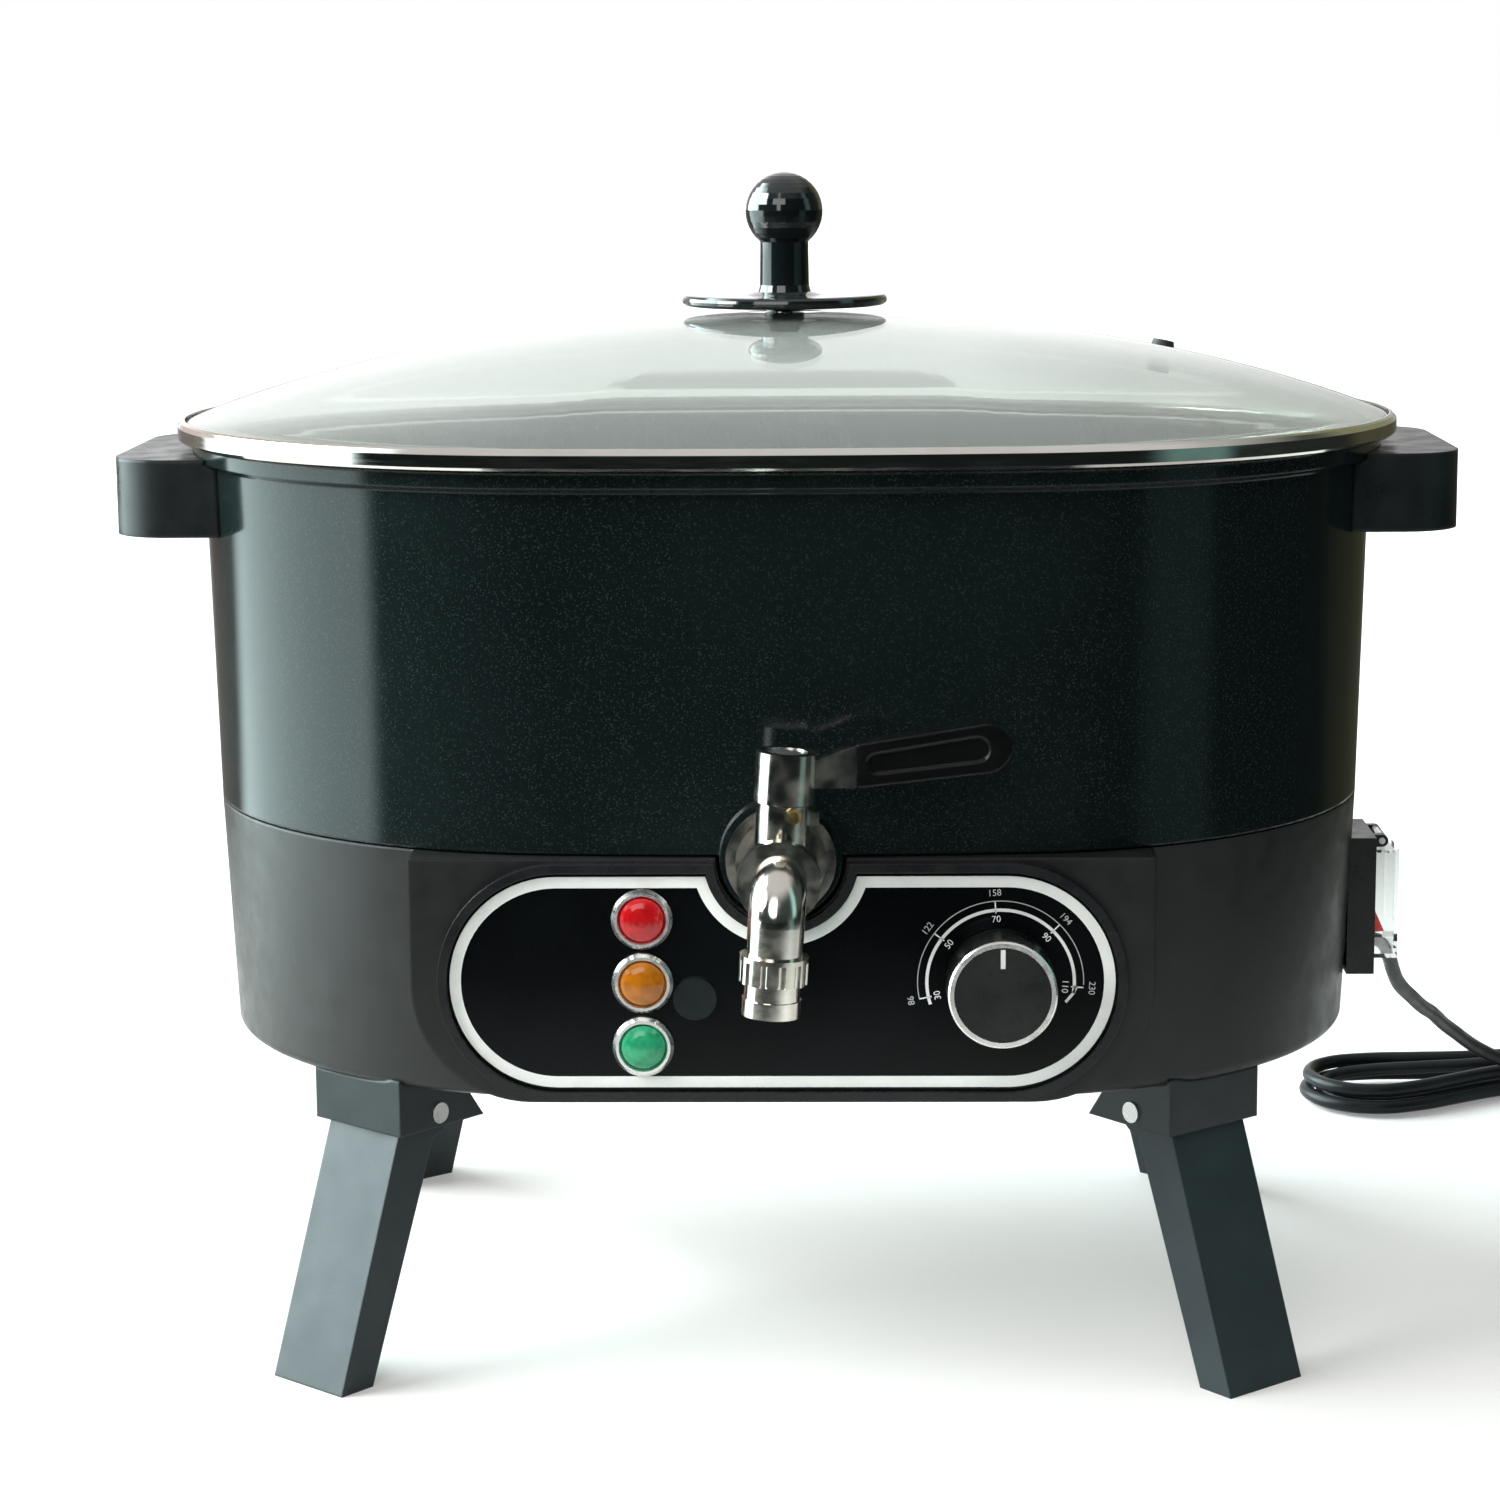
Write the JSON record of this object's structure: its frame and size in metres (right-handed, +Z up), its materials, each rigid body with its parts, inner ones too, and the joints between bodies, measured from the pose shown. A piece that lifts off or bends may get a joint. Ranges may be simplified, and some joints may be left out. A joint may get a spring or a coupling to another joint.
{
  "type": "candle wax melter",
  "caption": "Oval heated pot with a glass lid and side handles, a lever tap at the front for pouring, a thermostat dial, lamps, a covered switch and folding legs.",
  "frame": {"origin": "on the floor, under the middle of the object without its cord", "axes": "+Z up, the tap and control panel face -Y, the power switch is at +X"},
  "size_m": [0.5655, 0.5071, 0.3465],
  "materials": {
    "pot_coating": "metallic speckle, satin",
    "base_plastic": "fine matte texture",
    "sheet_steel": "plain zinc plated",
    "screw_steel": "plated",
    "bezel_plastic": "satin",
    "fascia_gloss": "gloss",
    "bright_metal": "polished",
    "lens_red": "translucent",
    "lens_amber": "translucent",
    "lens_green": "translucent",
    "lamp_white": "plain",
    "cap_black": "satin",
    "knob_black": "satin",
    "pointer_white": "plain",
    "control_steel": "plain",
    "tap_steel": "cast and polished",
    "gasket_rubber": "matte",
    "gasket_red": "matte",
    "grip_black": "gloss",
    "gland_brass": "plain",
    "handle_plastic": "satin",
    "lid_clear": "clear",
    "lid_steel": "polished",
    "lid_knob_black": "gloss",
    "switch_black": "satin",
    "rocker_red": "gloss",
    "cover_clear": "clear plastic",
    "element_metal": "oxidised",
    "terminal_nylon": "plain",
    "leg_plastic": "fine matte texture",
    "cord_rubber": "satin",
    "pin_brass": "plain"
  },
  "bodies": {
    "melter_body": {"pot": "pot_coating", "base_housing": "base_plastic", "bottom_cover": "sheet_steel", "base_screws": "screw_steel", "panel_bezel": "bezel_plastic", "fascia_panel": "fascia_gloss", "lamp_bezels": "bright_metal", "lamp_lens_red": "lens_red", "lamp_lens_amber": "lens_amber", "lamp_lens_green": "lens_green", "lamp_bodies": "lamp_white", "blank_cap": "cap_black", "thermostat_body": "control_steel", "tap_body": "tap_steel", "tap_flange_washer": "tap_steel", "tap_outer_gasket": "gasket_rubber", "tap_inner_gasket": "gasket_red", "tap_inner_nut": "tap_steel", "gland_screw": "gland_brass", "outlet_nut": "tap_steel", "outlet_nozzle": "tap_steel", "side_handle_left": "handle_plastic", "side_handle_right": "handle_plastic", "handle_screws": "screw_steel", "switch_frame": "switch_black", "switch_body": "switch_black", "cover_hinge_pin": "screw_steel", "heating_element": "element_metal", "element_clamp_plate": "sheet_steel", "thermal_fuse": "control_steel", "terminal_block": "terminal_nylon", "leg_brackets": "leg_plastic", "leg_pivot_pins": "screw_steel", "strain_relief": "cord_rubber", "cord_run": "cord_rubber", "cord_hank": "cord_rubber", "cord_tie": "cord_rubber", "plug_body": "cord_rubber", "plug_pins": "pin_brass"},
    "lid": {"lid_glass": "lid_clear", "lid_rim_band": "lid_steel", "knob_guard": "lid_knob_black", "lid_knob": "lid_knob_black", "lid_knob_screw": "screw_steel", "vent_grommet": "gasket_rubber"},
    "tap_valve": {"tap_ball": "tap_steel", "tap_stem": "tap_steel", "tap_lever": "tap_steel", "lever_grip": "grip_black", "lever_screw": "bright_metal"},
    "thermostat_dial": {"thermostat_knob": "knob_black", "dial_ring": "bright_metal", "dial_pointer": "pointer_white", "thermostat_shaft": "control_steel"},
    "power_switch_rocker": {"power_rocker": "rocker_red"},
    "switch_cover_flap": {"switch_cover": "cover_clear"},
    "front_left_leg": {"leg_front_left": "leg_plastic"},
    "front_right_leg": {"leg_front_right": "leg_plastic"},
    "rear_left_leg": {"leg_rear_left": "leg_plastic"},
    "rear_right_leg": {"leg_rear_right": "leg_plastic"}
  },
  "joints": [
    {"name": "lid_lift", "type": "slide", "parent": "melter_body", "child": "lid", "axis": [0, 0, 1], "range_m": [0, 0.12]},
    {"name": "tap_lever_turn", "type": "hinge", "parent": "melter_body", "child": "tap_valve", "pos_m": [0, -0.11707, 0.1595], "axis": [0.0663, 0, 0.9978], "range_deg": [-90, 0]},
    {"name": "thermostat_turn", "type": "hinge", "parent": "melter_body", "child": "thermostat_dial", "pos_m": [0.0612, -0.09978, 0.1242], "axis": [0, -1, 0], "range_deg": [-105, 105]},
    {"name": "power_rocker_tilt", "type": "hinge", "parent": "melter_body", "child": "power_switch_rocker", "pos_m": [0.178, 0.02193, 0.1226], "axis": [0, 1, 0], "range_deg": [0, 20]},
    {"name": "switch_cover_flip", "type": "hinge", "parent": "melter_body", "child": "switch_cover_flap", "pos_m": [0.1836, 0.02193, 0.1412], "axis": [0, -1, 0], "range_deg": [0, 100]},
    {"name": "leg_fold_front_left", "type": "hinge", "parent": "melter_body", "child": "front_left_leg", "pos_m": [-0.11464, -0.0562, 0.0775], "axis": [0.766, -0.6428, 0], "range_deg": [0, 110]},
    {"name": "leg_fold_front_right", "type": "hinge", "parent": "melter_body", "child": "front_right_leg", "pos_m": [0.11464, -0.0562, 0.0775], "axis": [0.766, 0.6428, 0], "range_deg": [0, 110]},
    {"name": "leg_fold_rear_left", "type": "hinge", "parent": "melter_body", "child": "rear_left_leg", "pos_m": [-0.11464, 0.10005, 0.0775], "axis": [-0.766, -0.6428, 0], "range_deg": [0, 110]},
    {"name": "leg_fold_rear_right", "type": "hinge", "parent": "melter_body", "child": "rear_right_leg", "pos_m": [0.11464, 0.10005, 0.0775], "axis": [-0.766, 0.6428, 0], "range_deg": [0, 110]}
  ]
}
